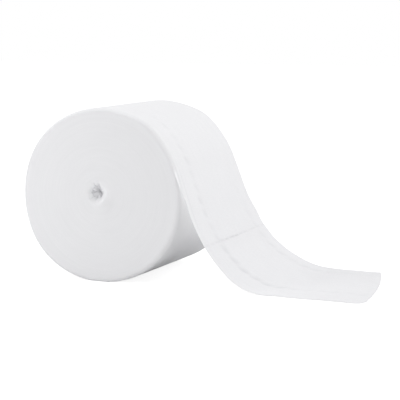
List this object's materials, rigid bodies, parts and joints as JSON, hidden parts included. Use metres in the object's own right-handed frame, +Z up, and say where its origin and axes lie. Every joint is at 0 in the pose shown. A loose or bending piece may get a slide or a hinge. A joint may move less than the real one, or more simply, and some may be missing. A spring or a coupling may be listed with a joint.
{
  "type": "toilet paper roll",
  "caption": "Soft coreless toilet paper roll on its side, with a small pleated centre hole and a loose perforated end lying out on the floor.",
  "frame": {"origin": "on the floor at the middle of the flat spot, straight under the middle of the roll's axis", "axes": "+X the way the loose end runs out along the floor, +Y along the roll's axis away from the end face seen in the picture, +Z up"},
  "size_m": [0.2473, 0.1028, 0.1199],
  "materials": {
    "tissue": "soft matt uncoated tissue, faintly creped"
  },
  "bodies": {
    "root": {"tissue_roll": "tissue"}
  },
  "joints": []
}
